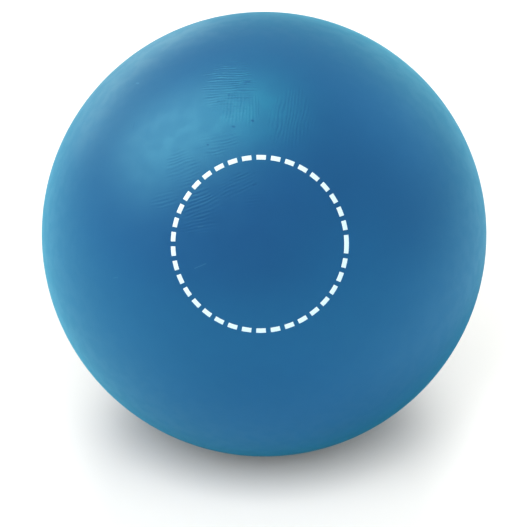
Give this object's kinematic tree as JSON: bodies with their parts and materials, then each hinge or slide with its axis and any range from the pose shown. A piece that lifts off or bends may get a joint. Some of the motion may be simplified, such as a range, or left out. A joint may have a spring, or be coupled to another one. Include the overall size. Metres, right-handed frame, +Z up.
{
  "type": "croquet ball",
  "caption": "Smooth satin blue croquet ball: a pressed cork and rubber core inside welded plastic half shells, with a white dashed ring printed on the front.",
  "frame": {"origin": "centre of the ball", "axes": "+Z up, -Y towards the side that the printed ring faces, +X to the right of someone who looks at the ring"},
  "size_m": [0.092, 0.092, 0.092],
  "materials": {
    "core_compound": "matte",
    "blue_plastic": "satin",
    "white_ink": "satin"
  },
  "bodies": {
    "root": {"core": "core_compound", "front_shell": "blue_plastic", "rear_shell": "blue_plastic", "print_ring": "white_ink"}
  },
  "joints": []
}
